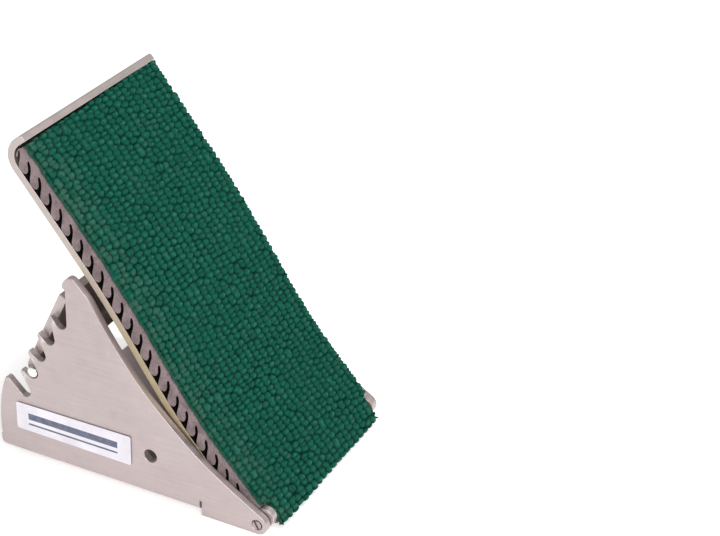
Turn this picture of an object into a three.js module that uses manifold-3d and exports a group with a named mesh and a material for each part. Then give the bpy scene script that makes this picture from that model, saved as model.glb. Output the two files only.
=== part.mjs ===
// Foot pedal of an athletics starting block: an aluminium channel with toothed cheeks,
// a bent foot plate with a two-layer rubber facing, and a prop whose rod drops into the teeth.
// Units are millimetres. X is across the pedal, +Y points to the rear, +Z is up.
// Side profiles are laid out in the (Y, Z) plane from the foot plate's hinge axis, and the
// finished group is moved so that the middle of the bottom of its bounding box is the origin.
import * as THREE from 'three';
import { mergeVertices } from 'three/addons/utils/BufferGeometryUtils.js';
import Module from 'manifold-3d';

const wasm = await Module();
wasm.setup();

// ---- driving dimensions ----
const CHEEK_OUT = 69.1;            // half width over the cheeks
const WALL = 4.5;                  // thickness of cheeks and floor
const CHEEK_IN = CHEEK_OUT - WALL;
const EDGE = 0.5;                  // chamfer on the cheek edges
const FLOOR_Z = -3.5;              // underside of the floor, from the hinge axis
const FOOT_Z = -6.0;               // underside of the cheeks' front feet
const FLOOR_FRONT = 35.8;          // front end of the floor, at the relief slits
const FLOOR_REAR = 158.5;          // rear end of the floor between the cheeks
const SLIT = 1.2;                  // width of the relief slits
const SLIT_TOP = 3.6;

const TOOTH_R = 159.2;             // tooth tips, from the hinge axis
const TOOTH_TIPS = [36.05, 30.15, 24.7, 19.2];       // angles about the hinge, top to bottom
const TIP_HALF = 0.3;              // half the width of a tooth's blunt tip, degrees
const NOTCHES = [[121.9, 91.6], [130.3, 79.0], [136.9, 66.5], [142.8, 53.5]];
const NOTCH_R = 3.7;
const LOW_SLOT = [148.4, 39.5];    // lowest position, a slot beside the rear arm
const LOW_SLOT_R = 3.6;
const ARM_LEAN = 44.4;             // front edge of the rear arm above the horizontal, degrees
const BOSS_R = 6.0;                // the cheeks' round front end, about the hinge
const REST_NOTCH = 3;              // the rod rests in the fourth notch

const PLATE_ANGLE = 51.26;         // foot plate above the horizontal at rest, degrees
const PLATE_T = 4.2;
const PAD_HALF = 64.0;
const LIP_R = 9.0;                 // inside radius of the bend at the plate's top
const LIP_U = 239.6;               // underside of the lip, along the plate from the hinge
const LIP_END = 10.4;              // front end of the lip
const BASE_RUBBER_T = 10.7;
const FACE_RUBBER_T = 3.5;
const GAP = 0.3;
const PAD_TOP = 238.4;
const KNUCKLE_R = 5.8;             // the plate's side ears, round the hinge
const KNUCKLE_W = 4.4;
const KNUCKLE_NOSE = [0.5, 3.0];   // centre of the ears' front end, in plate coordinates
const SCREW_R = 2.75;
const RUN = 0.08;                  // radial running clearance of the two pivots

const ROD_R = 3.25;
const PROP_T = 5.5;
const PROP_HALF = 63.6;
const PROP_LEAN = 115.0;           // direction from the rod up the prop, degrees
const PROP_LEN = 54.7;
const PROP_EYE_R = 6.8;            // bead round the rod, flush with the prop's rear face
const PIVOT = [112.6, 102.0];      // prop pivot, carried behind the foot plate
const PIVOT_R = 6.0;
const PIN_R = 3.0;
const EAR_HALF = 19.0;
const LUG_IN = 19.5;
const LUG_W = 4.5;

const STUDS = { front: [62.2, 25.8], rear: [141.4, 25.5] };
const STUD_HOLE_R = 5.3;

// The foot plate's front face, as height above the line from the hinge at PLATE_ANGLE.
const PLATE_FACE = [[4, -6.4], [20, -7.6], [40, -8.9], [60, -9.6], [80, -9.0], [100, -7.6],
  [125, -5.4], [150, -4.0], [168, -3.6], [200, -3.7], [LIP_U - LIP_R, -3.9]];

// ---- small helpers ----
const rad = (deg) => deg * Math.PI / 180;
const polar = (r, deg, c = [0, 0]) => [c[0] + r * Math.cos(rad(deg)), c[1] + r * Math.sin(rad(deg))];
const angleOf = (p, c) => Math.atan2(p[1] - c[1], p[0] - c[0]) * 180 / Math.PI;
const dist = (a, b) => Math.hypot(a[0] - b[0], a[1] - b[1]);

function arc(c, r, from, to, n) {
  return Array.from({ length: n + 1 }, (_, i) => polar(r, from + (to - from) * i / n, c));
}

// Angle, seen from the circle's centre, of the point where a line from p touches the circle.
function touch(p, c, r, side) {
  return angleOf(p, c) + side * Math.acos(r / dist(p, c)) * 180 / Math.PI;
}

// Foot plate coordinates: u along the plate from the hinge, v towards the athlete.
function onPlate(u, v) {
  const c = Math.cos(rad(PLATE_ANGLE)), s = Math.sin(rad(PLATE_ANGLE));
  return [u * c - v * s, u * s + v * c];
}

// The outline without points that repeat the one before them.
function outlineShape(points) {
  const kept = points.filter((p, i) => dist(p, points[(i + points.length - 1) % points.length]) > 1e-3);
  return new THREE.Shape(kept.map(([a, b]) => new THREE.Vector2(a, b)));
}

// A (Y, Z) outline swept from x0 to x1, with an optional chamfer round both ends.
function acrossX(points, x0, x1, bevel = 0) {
  const geometry = new THREE.ExtrudeGeometry(outlineShape(points), {
    depth: x1 - x0 - 2 * bevel, steps: 1, bevelEnabled: bevel > 0, bevelSegments: 1,
    bevelSize: bevel, bevelThickness: bevel, bevelOffset: -bevel,
  });
  const cyclic = new THREE.Matrix4().set(0, 0, 1, x0 + bevel, 1, 0, 0, 0, 0, 1, 0, 0, 0, 0, 0, 1);
  return geometry.applyMatrix4(cyclic);
}

// An (X, Z) outline swept from y0 to y1.
function alongY(points, y0, y1) {
  const settings = { depth: y1 - y0, steps: 1, bevelEnabled: false };
  const geometry = new THREE.ExtrudeGeometry(outlineShape(points), settings);
  return geometry.applyMatrix4(new THREE.Matrix4().set(1, 0, 0, 0, 0, 0, -1, y1, 0, 1, 0, 0, 0, 0, 0, 1));
}

function block(x0, x1, y0, y1, z0, z1) {
  return new THREE.BoxGeometry(x1 - x0, y1 - y0, z1 - z0)
    .translate((x0 + x1) / 2, (y0 + y1) / 2, (z0 + z1) / 2);
}

// A profile of [x, radius] pairs turned about the X axis through centre.
function turned(profile, centre, segments = 48) {
  const lathe = new THREE.LatheGeometry(profile.map(([x, r]) => new THREE.Vector2(r, x)), segments);
  const upright = new THREE.Matrix4().set(0, 1, 0, 0, 0, 0, 1, centre[0], 1, 0, 0, centre[1], 0, 0, 0, 1);
  return lathe.applyMatrix4(upright);
}

function bar(r, x0, x1, centre, chamfer = 0, segments = 48) {
  return turned([[x0, 0], [x0, r - chamfer], [x0 + chamfer, r], [x1 - chamfer, r], [x1, r - chamfer], [x1, 0]]
    .filter((p, i, all) => i === 0 || p[0] !== all[i - 1][0] || p[1] !== all[i - 1][1]), centre, segments);
}

function solid(geometry) {
  const bare = geometry.clone();
  bare.deleteAttribute('normal');
  bare.deleteAttribute('uv');
  const merged = mergeVertices(bare, 1e-4);
  const source = Array.from(merged.index.array), kept = [];
  for (let i = 0; i < source.length; i += 3) {
    const [a, b, c] = source.slice(i, i + 3);
    if (a !== b && b !== c && a !== c) kept.push(a, b, c);
  }
  const mesh = new wasm.Mesh({
    numProp: 3,
    vertProperties: Float32Array.from(merged.attributes.position.array),
    triVerts: Uint32Array.from(kept),
  });
  return new wasm.Manifold(mesh);
}

function combine(base, { add = [], subtract = [], intersect = [] } = {}) {
  let body = solid(base);
  add.forEach((g) => { body = body.add(solid(g)); });
  intersect.forEach((g) => { body = body.intersect(solid(g)); });
  subtract.forEach((g) => { body = body.subtract(solid(g)); });
  const out = body.getMesh();
  const geometry = new THREE.BufferGeometry();
  geometry.setAttribute('position', new THREE.Float32BufferAttribute(out.vertProperties, 3));
  geometry.setIndex(Array.from(out.triVerts));
  return geometry;
}

// ---- materials ----
const aluminium = () => new THREE.MeshStandardMaterial({ color: 0xc6bbb8, metalness: 0.75, roughness: 0.42 });
const zinc = () => new THREE.MeshStandardMaterial({ color: 0xb9b8b6, metalness: 0.95, roughness: 0.22 });
const steel = () => new THREE.MeshStandardMaterial({ color: 0x8d8b8c, metalness: 0.9, roughness: 0.35 });
const greenRubber = () => new THREE.MeshStandardMaterial({ color: 0x1b5f48, metalness: 0, roughness: 0.8 });
const greyRubber = () => new THREE.MeshStandardMaterial({ color: 0x8f8086, metalness: 0, roughness: 0.85 });
const vinyl = () => new THREE.MeshStandardMaterial({ color: 0xe9e4e8, metalness: 0, roughness: 0.4 });

const group = new THREE.Group();
function piece(name, geometry, material) {
  const mesh = new THREE.Mesh(geometry, material);
  mesh.name = name;
  group.add(mesh);
}

// ---- channel: two cheeks joined by a floor, bent from one plate ----
function notch(i) {
  const c = NOTCHES[i], below = polar(TOOTH_R, TOOTH_TIPS[i] + TIP_HALF);
  const start = touch(below, c, NOTCH_R, -1);
  if (i === 0) {
    return [below, ...arc(c, NOTCH_R, start, -180, 9), [c[0] - NOTCH_R, 113.2]];
  }
  const above = polar(TOOTH_R, TOOTH_TIPS[i - 1] - TIP_HALF);
  const end = touch(above, c, NOTCH_R, 1) - 360;
  return [below, ...arc(c, NOTCH_R, start, end, 10), above];
}

function cheekOutline() {
  const tip = polar(TOOTH_R, TOOTH_TIPS[3] - TIP_HALF);
  const front = touch(tip, LOW_SLOT, LOW_SLOT_R, 1) - 360;
  return [
    [0, FOOT_Z], [FLOOR_FRONT - SLIT, FOOT_Z], [FLOOR_FRONT - SLIT, 3.0], [165.6, 3.0],
    [166.6, 8], [166.6, 18], [165.7, 28.4], [164.5, 34.5], [163.3, 39.5],
    ...arc([160.1, 43.3], 1.8, 21, ARM_LEAN + 90, 5),
    ...arc(LOW_SLOT, LOW_SLOT_R, ARM_LEAN - 90, front, 9), tip,
    ...[3, 2, 1, 0].flatMap(notch),
    [120.2, 114.2], [119.8, 116.6], [118.4, 119.0], [116.6, 120.8], [114.6, 121.5], [112.4, 120.8],
    [110.2, 118.6], [106.6, 115.1], [103.8, 112.2], [101.8, 109.4], [99, 104.5], [94, 96.0],
    [89, 88.5], [84, 81.4], [79, 74.6], [74, 68.1], [69, 62.2], [64, 56.9], [59, 51.8], [54, 46.9],
    [49, 42.2], [44, 37.6], [39, 33.3], [34, 29.3], [29, 25.6], [24, 22.2], [19, 18.9], [14, 15.7],
    [9, 12.6], [4, 9.4], ...arc([0, 0], BOSS_R, 122, 262, 9),
  ];
}

function floorSection() {
  const out = CHEEK_OUT, inn = CHEEK_IN, top = FLOOR_Z + WALL, stand = 5.2;
  return [
    [-out, stand], ...arc([-inn, top], WALL, 180, 270, 6), ...arc([inn, top], WALL, 270, 360, 6),
    [out, stand], [inn, stand], ...arc([inn - 1.2, top + 1.2], 1.2, 0, -90, 3),
    ...arc([-inn + 1.2, top + 1.2], 1.2, -90, -180, 3), [-inn, stand],
  ];
}

const rearRound = [[0, FLOOR_Z - 0.01], ...arc([160.2, 2.9], 6.41, -90, 0, 6), [166.61, 40], [0, 40]];
const slitBox = (s) => block(Math.min(s * 75, s * 58), Math.max(s * 75, s * 58),
  FLOOR_FRONT - SLIT, FLOOR_FRONT, -20, SLIT_TOP);
const floorTrough = combine(alongY(floorSection(), FLOOR_FRONT - 0.4, 166.6), {
  intersect: [acrossX(rearRound, -80, 80)],
  subtract: [block(-59, 59, FLOOR_REAR, 180, -10, 20)],
});
piece('channel', combine(acrossX(cheekOutline(), -CHEEK_OUT, -CHEEK_IN, EDGE), {
  add: [acrossX(cheekOutline(), CHEEK_IN, CHEEK_OUT, EDGE), floorTrough],
  subtract: [
    slitBox(-1), slitBox(1),
    bar(4.0, -80, -60, [66.8, 22.8], 0, 32),
    bar(SCREW_R + GAP, -80, 80, [0, 0], 0, 32),
    ...Object.values(STUDS).map((c) => bar(STUD_HOLE_R + GAP, 60, 80, c, 0, 32)),
  ],
}), aluminium());

piece('side_label', acrossX([[79, 12.8], [154.6, 13.6], [154.6, 31], [79, 31.6]],
  -CHEEK_OUT - GAP - 0.5, -CHEEK_OUT - GAP), vinyl());

// ---- hinge screws, through the cheeks into the plate's knuckles ----
for (const [name, s] of [['hinge_screw_left', -1], ['hinge_screw_right', 1]]) {
  const face = s * (CHEEK_OUT + 0.35), tail = s * (PAD_HALF - KNUCKLE_W + 0.3);
  const shank = bar(SCREW_R, Math.min(face, tail), Math.max(face, tail), [0, 0], 0.3);
  const slot = block(Math.min(face, face - s * 1.1) - 0.01, Math.max(face, face - s * 1.1) + 0.01,
    -5, 5, -0.45, 0.45).rotateX(rad(62));
  piece(name, combine(shank, { subtract: [slot] }), steel());
}

// ---- grooved studs that hook into the rail, on the right-hand cheek ----
for (const [where, c] of Object.entries(STUDS)) {
  const x0 = CHEEK_OUT + GAP + 2.5 + GAP;
  piece(`${where}_stud_flange`, combine(bar(11.2, CHEEK_OUT + GAP, CHEEK_OUT + GAP + 2.5, c, 0.5), {
    subtract: [bar(STUD_HOLE_R + GAP, 60, 80, c, 0, 32)],
  }), zinc());
  piece(`${where}_stud`, turned([
    [CHEEK_IN - 7.0, 0], [CHEEK_IN - 7.0, 4.4], [CHEEK_IN - 6.1, STUD_HOLE_R], [x0, STUD_HOLE_R], [x0, 7.6],
    [x0 + 5.6, 7.6], [x0 + 5.6, 11.4], [x0 + 6.2, 12.1], [x0 + 8.6, 12.1], [x0 + 9.6, 11.1],
    [x0 + 9.6, 3.6], [x0 + 7.0, 3.6], [x0 + 7.0, 0],
  ], c), zinc());
  const hex = arc(c, 9.2, 0, 300, 5);
  piece(`${where}_stud_nut`, combine(acrossX(hex, CHEEK_IN - GAP - 6.0, CHEEK_IN - GAP), {
    subtract: [bar(STUD_HOLE_R + GAP, 50, 70, c, 0, 32)],
  }), zinc());
}

// ---- foot plate ----
const faceCurve = new THREE.SplineCurve(PLATE_FACE.map(([u, v]) => new THREE.Vector2(u, v)));
const FACE_STEPS = 30;

// Points of the face curve moved by h along its normal, with the plate's u limited to [low, high].
function offsetFace(h, low, high) {
  const points = [];
  for (let i = 0; i <= FACE_STEPS; i += 1) {
    const p = faceCurve.getPoint(i / FACE_STEPS), t = faceCurve.getTangent(i / FACE_STEPS);
    const q = [p.x - t.y * h, p.y + t.x * h];
    if (q[0] > low + 0.5 && q[0] < high - 0.5) points.push(q);
  }
  return points;
}
const bendCentre = [LIP_U - LIP_R, -3.9 + LIP_R];
const toYZ = (points) => points.map(([u, v]) => onPlate(u, v));

const frontSide = [
  ...offsetFace(0, 3, LIP_U), ...arc(bendCentre, LIP_R, -90, 0, 8).slice(1), [LIP_U, LIP_END],
];
const backSide = [
  ...offsetFace(-PLATE_T, 3, LIP_U), ...arc(bendCentre, LIP_R + PLATE_T, -90, 0, 8).slice(1),
  [LIP_U + PLATE_T, LIP_END - 0.8], [LIP_U + PLATE_T - 0.8, LIP_END],
];
const plateOutline = toYZ([...backSide, ...frontSide.slice().reverse()]);
const knuckle = (s) => {
  const x0 = Math.min(s * PAD_HALF, s * (PAD_HALF - KNUCKLE_W)), x1 = x0 + KNUCKLE_W;
  const lug = toYZ([[14, -11.4], [14, -7.4], ...arc(KNUCKLE_NOSE, KNUCKLE_R - 0.3, 0, 170, 12),
    ...arc([0, 0], KNUCKLE_R, 176, 270, 8), [3.6, -10.7]]);
  return acrossX(lug, x0, x1);
};
piece('foot_plate', combine(acrossX(plateOutline, -PAD_HALF, PAD_HALF), {
  add: [knuckle(-1), knuckle(1)],
  subtract: [bar(SCREW_R + RUN, -80, 80, [0, 0])],
}), aluminium());

// ---- rubber facing: a cellular base layer under a pebbled wear layer ----
function rubberLayer(low, high, bottom) {
  const under = offsetFace(low, 6, bendCentre[0]), over = offsetFace(high, -20, PAD_TOP);
  const crown = low < LIP_R - 1
    ? [...arc(bendCentre, LIP_R - low, -90, -4, 8).slice(1), [PAD_TOP, bendCentre[1] + 0.5]]
    : [[PAD_TOP, under[under.length - 1][1] + 0.2]];
  const outline = toYZ([...over.slice().reverse(), ...bottom, ...under, ...crown, [PAD_TOP, high - 3.9]]);
  const notchCut = (s) => {
    const edge = s * (PAD_HALF - KNUCKLE_W - GAP);
    const cut = toYZ([
      [-30, 40], [-30, -40], [16, -40], [16, -6.7], [11.5, -2.6], [7.1, 2.8], [6.2, 6], [5.8, 40],
    ]);
    return acrossX(cut, Math.min(edge, s * 90), Math.max(edge, s * 90));
  };
  return combine(acrossX(outline, -PAD_HALF, PAD_HALF), { subtract: [notchCut(-1), notchCut(1)] });
}
const splitV = BASE_RUBBER_T + GAP;
piece('rubber_base', rubberLayer(GAP, BASE_RUBBER_T, [[-6.6, 3.9], [1.4, -6.0]]), greyRubber());
const faceLow = splitV + 0.1;
piece('rubber_face', rubberLayer(faceLow, faceLow + FACE_RUBBER_T, [[-8.6, 8.4], [-6.9, 4.4]]), greenRubber());

// ---- prop: a panel with an eye for the rod and an ear on the pivot pin ----
const rodAt = NOTCHES[REST_NOTCH];
const onProp = (t, n) => polar(n, PROP_LEAN - 90, polar(t, PROP_LEAN, rodAt));   // n is to the rear
const propFace = PROP_EYE_R - PROP_T;
const eyeEnd = Math.asin(propFace / PROP_EYE_R) * 180 / Math.PI;
const propOutline = [
  ...arc(rodAt, PROP_EYE_R, PROP_LEAN - eyeEnd, PROP_LEAN + 270, 22),
  onProp(PROP_LEN, PROP_EYE_R), onProp(PROP_LEN, propFace),
];
const earBack = propFace + PROP_T / 2 + 1;
const earOutline = [
  ...arc(PIVOT, PIVOT_R, 72, 250, 14), onProp(PROP_LEN - 15, earBack), onProp(PROP_LEN, earBack),
];
piece('prop_panel', combine(acrossX(propOutline, -PROP_HALF, PROP_HALF), {
  add: [acrossX(earOutline, -EAR_HALF, EAR_HALF)],
  subtract: [bar(ROD_R + 0.15, -80, 80, rodAt, 0, 32), bar(PIN_R + RUN, -80, 80, PIVOT)],
}), aluminium());
piece('cross_rod', bar(ROD_R, -CHEEK_OUT - 0.1, CHEEK_OUT + 0.1, rodAt, 0.4), zinc());

// ---- pivot lugs, pin and retaining rings behind the foot plate ----
const [pivotU, pivotV] = [150.0, -24.0];
const seat = offsetFace(-PLATE_T - GAP, 134, pivotU + 8);
const heel = offsetFace(-PLATE_T - GAP - 3, 134, pivotU + 8);
for (const [name, s] of [['prop_lug_left', -1], ['prop_lug_right', 1]]) {
  const web = toYZ([...seat.slice().reverse(), ...arc([pivotU, pivotV], PIVOT_R, 190, 350, 14)]);
  const flange = toYZ([...seat.slice().reverse(), ...heel]);
  const x = [s * LUG_IN, s * (LUG_IN + LUG_W)], wide = [s * LUG_IN, s * (LUG_IN + 17)];
  piece(name, combine(acrossX(web, Math.min(...x), Math.max(...x)), {
    add: [acrossX(flange, Math.min(...wide), Math.max(...wide))],
    subtract: [bar(PIN_R + 0.2, -80, 80, PIVOT)],
  }), aluminium());
}
const ringX = LUG_IN + LUG_W + GAP;
piece('pivot_pin', bar(PIN_R, -ringX - 3.5, ringX + 3.5, PIVOT, 0.5), zinc());
for (const [name, s] of [['pin_ring_left', -1], ['pin_ring_right', 1]]) {
  const x = [s * ringX, s * (ringX + 1.2)];
  piece(name, combine(bar(5.2, Math.min(...x), Math.max(...x), PIVOT, 0, 32), {
    subtract: [bar(PIN_R + 0.25, -80, 80, PIVOT, 0, 32)],
  }), steel());
}

// ---- put the origin at the middle of the bottom of the bounding box ----
const bounds = new THREE.Box3().setFromObject(group);
group.position.set(-(bounds.min.x + bounds.max.x) / 2, -(bounds.min.y + bounds.max.y) / 2, -bounds.min.z);

export default group;
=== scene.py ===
"""Starting block foot pedal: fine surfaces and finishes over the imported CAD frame.

Side profiles are in millimetres in the (y, z) plane, measured from the foot plate's hinge axis;
row() turns them into metres in the row frame. Plate coordinates (u, v) run along the foot plate
from the hinge, and out of it towards the athlete.
"""
import math

import bmesh
import bpy
import numpy as np
from mathutils import Matrix, Vector


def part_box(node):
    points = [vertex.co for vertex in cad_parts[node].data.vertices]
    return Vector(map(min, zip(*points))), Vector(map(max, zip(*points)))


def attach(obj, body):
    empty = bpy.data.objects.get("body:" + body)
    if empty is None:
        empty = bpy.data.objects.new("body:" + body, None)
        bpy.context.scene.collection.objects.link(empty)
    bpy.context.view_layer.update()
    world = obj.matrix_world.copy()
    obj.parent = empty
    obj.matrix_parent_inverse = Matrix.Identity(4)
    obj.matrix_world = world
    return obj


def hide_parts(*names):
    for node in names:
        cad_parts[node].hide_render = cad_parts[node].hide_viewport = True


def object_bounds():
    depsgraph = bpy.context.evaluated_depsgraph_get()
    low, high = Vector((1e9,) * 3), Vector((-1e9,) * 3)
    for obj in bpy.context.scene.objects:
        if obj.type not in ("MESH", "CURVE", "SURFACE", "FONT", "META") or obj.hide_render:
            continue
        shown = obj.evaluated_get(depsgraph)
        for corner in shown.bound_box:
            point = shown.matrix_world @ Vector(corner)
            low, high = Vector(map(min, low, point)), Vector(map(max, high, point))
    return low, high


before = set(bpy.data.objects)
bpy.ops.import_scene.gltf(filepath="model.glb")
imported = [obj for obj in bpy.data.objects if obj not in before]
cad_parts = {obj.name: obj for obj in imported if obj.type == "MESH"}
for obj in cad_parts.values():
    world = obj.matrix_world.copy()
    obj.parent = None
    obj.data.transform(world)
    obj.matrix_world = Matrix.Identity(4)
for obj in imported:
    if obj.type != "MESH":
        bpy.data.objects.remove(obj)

CAD_BOX = [list(corner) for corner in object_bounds()]


# ---- the frame's reference lines ----
def middle(node):
    low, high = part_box(node)
    return (low + high) / 2


HINGE = middle("hinge_screw_left")
MID_X = middle("channel").x
MM = 0.001

# ---- dimensions, in millimetres ----
CHEEK_OUT, CHEEK_IN = 69.1, 64.6
WALL = 4.5
FLOOR_Z, FOOT_Z = -3.5, -6.0
FLOOR_FRONT, FLOOR_REAR = 35.8, 158.5
SLIT, SLIT_TOP = 1.2, 3.6
TOOTH_R, TIP_HALF = 159.2, 0.3
TOOTH_TIPS = (36.05, 30.15, 24.7, 19.2)
NOTCHES = ((121.9, 91.6), (130.3, 79.0), (136.9, 66.5), (142.8, 53.5))
NOTCH_R = 3.7
LOW_SLOT, LOW_SLOT_R, ARM_LEAN = (148.4, 39.5), 3.6, 44.4
BOSS_R = 6.0
ACCESS_HOLE = (66.8, 22.8)

PLATE_ANGLE = math.radians(51.26)
PLATE_T = 4.2
PAD_HALF = 64.0
LIP_R, LIP_U, LIP_END = 9.0, 239.6, 10.4
GAP = 0.3
BASE_HIGH = 10.7
FACE_LOW, FACE_HIGH = 11.1, 14.6
PAD_TOP = 238.4
KNUCKLE_R, KNUCKLE_W, KNUCKLE_NOSE = 5.8, 4.4, (0.5, 3.0)
SCREW_R, SLOT_HALF = 2.75, 0.6
PLATE_FACE = ((4, -6.4), (20, -7.6), (40, -8.9), (60, -9.6), (80, -9.0), (100, -7.6),
              (125, -5.4), (150, -4.0), (168, -3.6), (200, -3.7), (LIP_U - LIP_R, -3.9))
BEND = (LIP_U - LIP_R, -3.9 + LIP_R)

ROD, ROD_R = NOTCHES[3], 3.25
PROP_T, PROP_HALF, PROP_LEAN, PROP_LEN, PROP_EYE_R = 5.5, 63.6, 115.0, 54.7, 6.8
PIVOT_UV, PIVOT, PIVOT_R = (150.0, -24.0), (112.6, 102.0), 6.0
PIN_R, EAR_HALF = 3.0, 19.0
LUG_IN, LUG_W, LUG_FLANGE = 19.5, 4.5, 17.0
STUDS = {"front": (62.2, 25.8), "rear": (141.4, 25.5)}
STUD_HOLE_R = 5.3

CELL_PITCH, CELL_TOP = 9.8, 228.6      # moulded feet along the grey layer's underside
CELL = ((0.3, -9.3), (1.2, -7.9), (2.6, -6.5), (4.3, -5.1), (6.2, -3.4), (7.6, -1.6), (8.5, 0.2),
        (8.7, 1.0), (8.2, 1.5), (7.4, 1.2), (6.4, -0.1), (5.2, -1.9), (4.0, -3.0), (2.9, -3.4),
        (1.8, -3.3), (0.9, -2.5), (0.3, -1.2))
LAST_CELL = ((0.3, 229.7), (1.2, 231.0), (2.6, 232.3), (4.3, 233.5), (6.0, 235.2), (7.4, 236.9),
             (7.3, 237.6), (6.5, 237.3), (5.5, 236.2), (4.5, 235.4), (3.4, 235.2))
PEBBLE = (5.8, 3.3)                    # green pebbles, across and along the pad
PEBBLE_DEPTH, PEBBLE_PROUD = 1.75, 0.45
PEBBLE_FLANK = 1.6                     # from a crease up to the crown
PEBBLE_GRID = 0.66                     # the mesh's spacing
PEBBLE_SHARP = 2.6                     # per mm: a lower value rounds the pebbles' corners
COLUMN_JOIN = 0.35                     # creases inside a column of pebbles are shallower
PAD_FOOT, PAD_LEDGE = -9.8, 6.0        # the green layer's lower end, and its step over the knuckles
EDGE_ROUND, EDGE_RAGGED = 0.9, 2.4     # the green layer's border
TOP_SKEW, SKEW_FROM = 1.3, 200.0       # its upper edge is cut slightly out of square
LABEL_BARS = ((8.6, 12.8), (5.0, 6.2))  # heights of the label's two printed bars
LABEL_BAR_ENDS = (8, 67)

CAMERA_AT = (-0.77762416, -0.46027189, 0.6179161)      # metres, in the row frame
CAMERA_AIM = (0.78983804, 0.36795218, -0.49068021)
CAMERA_ROLL, CAMERA_LENS = 2.23, 91.984


# ---- points and outlines ----
def row(x, y, z):
    return Vector((MID_X + x * MM, HINGE.y + y * MM, HINGE.z + z * MM))


def polar(r, degrees, centre=(0.0, 0.0)):
    a = math.radians(degrees)
    return centre[0] + r * math.cos(a), centre[1] + r * math.sin(a)


def arc(centre, r, start, end, steps):
    return [polar(r, start + (end - start) * i / steps, centre) for i in range(steps + 1)]


def touch(p, centre, r, side):
    """Angle, seen from the circle's centre, of the point where a line from p touches it."""
    toward = math.degrees(math.atan2(p[1] - centre[1], p[0] - centre[0]))
    return toward + side * math.degrees(math.acos(r / math.dist(p, centre)))


def curve_through(points, steps):
    """A smooth curve through the points, with that many steps between neighbours."""
    p = [points[0], *points, points[-1]]
    smooth = []
    for a, b, c, d in zip(p, p[1:], p[2:], p[3:]):
        for i in range(steps):
            t = i / steps
            smooth.append(tuple(
                b[k] + t * (c[k] - a[k]) / 2 + t * t * (a[k] - 2.5 * b[k] + 2 * c[k] - d[k] / 2)
                + t ** 3 * (1.5 * (b[k] - c[k]) + (d[k] - a[k]) / 2) for k in (0, 1)))
    return smooth + [tuple(points[-1])]


def unique(points):
    kept = []
    for p in points:
        if not kept or math.dist(p, kept[-1]) > 1e-3:
            kept.append(p)
    if math.dist(kept[0], kept[-1]) < 1e-3:
        kept.pop()
    return kept


def inset(outline, d):
    """The outline moved inwards by d."""
    following = outline[1:] + outline[:1]
    turn = math.copysign(1, sum(a[0] * b[1] - b[0] * a[1] for a, b in zip(outline, following)))
    moved = []
    for a, p, b in zip(outline[-1:] + outline[:-1], outline, following):
        e, f = math.dist(a, p), math.dist(p, b)
        n, m = ((a[1] - p[1]) / e, (p[0] - a[0]) / e), ((p[1] - b[1]) / f, (b[0] - p[0]) / f)
        k = turn * d / max(0.35, 1 + n[0] * m[0] + n[1] * m[1])
        moved.append((p[0] + k * (n[0] + m[0]), p[1] + k * (n[1] + m[1])))
    return moved


# ---- the foot plate's face curve ----
FACE = np.array([(-14.0, -6.1), *curve_through(PLATE_FACE, 12), (250.0, -3.9)])
SLOPE = np.gradient(FACE[:, 1], FACE[:, 0])


def face_uv(u, h):
    """Plate coordinates of the point at height h over the face, at u along it."""
    u = np.asarray(u, float)
    v, slope = np.interp(u, FACE[:, 0], FACE[:, 1]), np.interp(u, FACE[:, 0], SLOPE)
    k = h / np.sqrt(1 + slope ** 2)
    return u - slope * k, v + k


def on_plate(u, v):
    c, s = math.cos(PLATE_ANGLE), math.sin(PLATE_ANGLE)
    return u * c - v * s, u * s + v * c


def along_face(h, low, high, step=3.0):
    us = np.linspace(low, high, max(2, round((high - low) / step)))
    return list(zip(*(values.tolist() for values in face_uv(us, h))))


def over_plate(point):
    """Where a point lies: across the plate, along it, and above its front face."""
    c, s = math.cos(PLATE_ANGLE), math.sin(PLATE_ANGLE)
    x, y, z = (point - row(0, 0, 0)) / MM
    u, v = y * c + z * s, z * c - y * s
    return x, u, v - float(np.interp(u, FACE[:, 0], FACE[:, 1]))


def to_side(points):
    return [on_plate(u, v) for u, v in points]


# ---- solids ----
def new_object(name, bm):
    bmesh.ops.recalc_face_normals(bm, faces=bm.faces)
    mesh = bpy.data.meshes.new(name)
    bm.to_mesh(mesh)
    bm.free()
    obj = bpy.data.objects.new(name, mesh)
    bpy.context.scene.collection.objects.link(obj)
    return obj


def loft(name, rings):
    """A closed solid through matching rings of points."""
    bm = bmesh.new()
    rings = [[bm.verts.new(p) for p in ring] for ring in rings]
    bm.faces.new(rings[0])
    bm.faces.new(rings[-1])
    for a, b in zip(rings, rings[1:]):
        for i in range(len(a)):
            bm.faces.new((a[i - 1], a[i], b[i], b[i - 1]))
    return new_object(name, bm)


def across(name, outline, x0, x1, r=0.0, steps=3):
    """A (y, z) outline swept across the pedal, its edges rounded to r at both ends."""
    outline = unique(outline)
    angles = [math.pi / 2 * i / steps for i in range(steps + 1)] if r else [0]
    ends = [(r * (1 - math.sin(a)), inset(outline, r * (1 - math.cos(a)))) for a in angles]
    rings = [[row(x0 + depth, *p) for p in ring] for depth, ring in reversed(ends)]
    rings += [[row(x1 - depth, *p) for p in ring] for depth, ring in ends]
    return loft(name, rings)


def along(name, outline, y0, y1):
    """An (x, z) outline swept from front to rear."""
    outline = unique(outline)
    return loft(name, [[row(x, y, z) for x, z in outline] for y in (y0, y1)])


def block(name, x, y, z):
    return along(name, [(x[0], z[0]), (x[1], z[0]), (x[1], z[1]), (x[0], z[1])], *y)


def turned(name, profile, centre, steps=96):
    """A profile of (x, radius) pairs turned about the X axis through centre."""
    rings = [[row(x, *polar(max(r, 0.05), 360 * i / steps, centre)) for i in range(steps)]
             for x, r in profile]
    return loft(name, rings)


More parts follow.
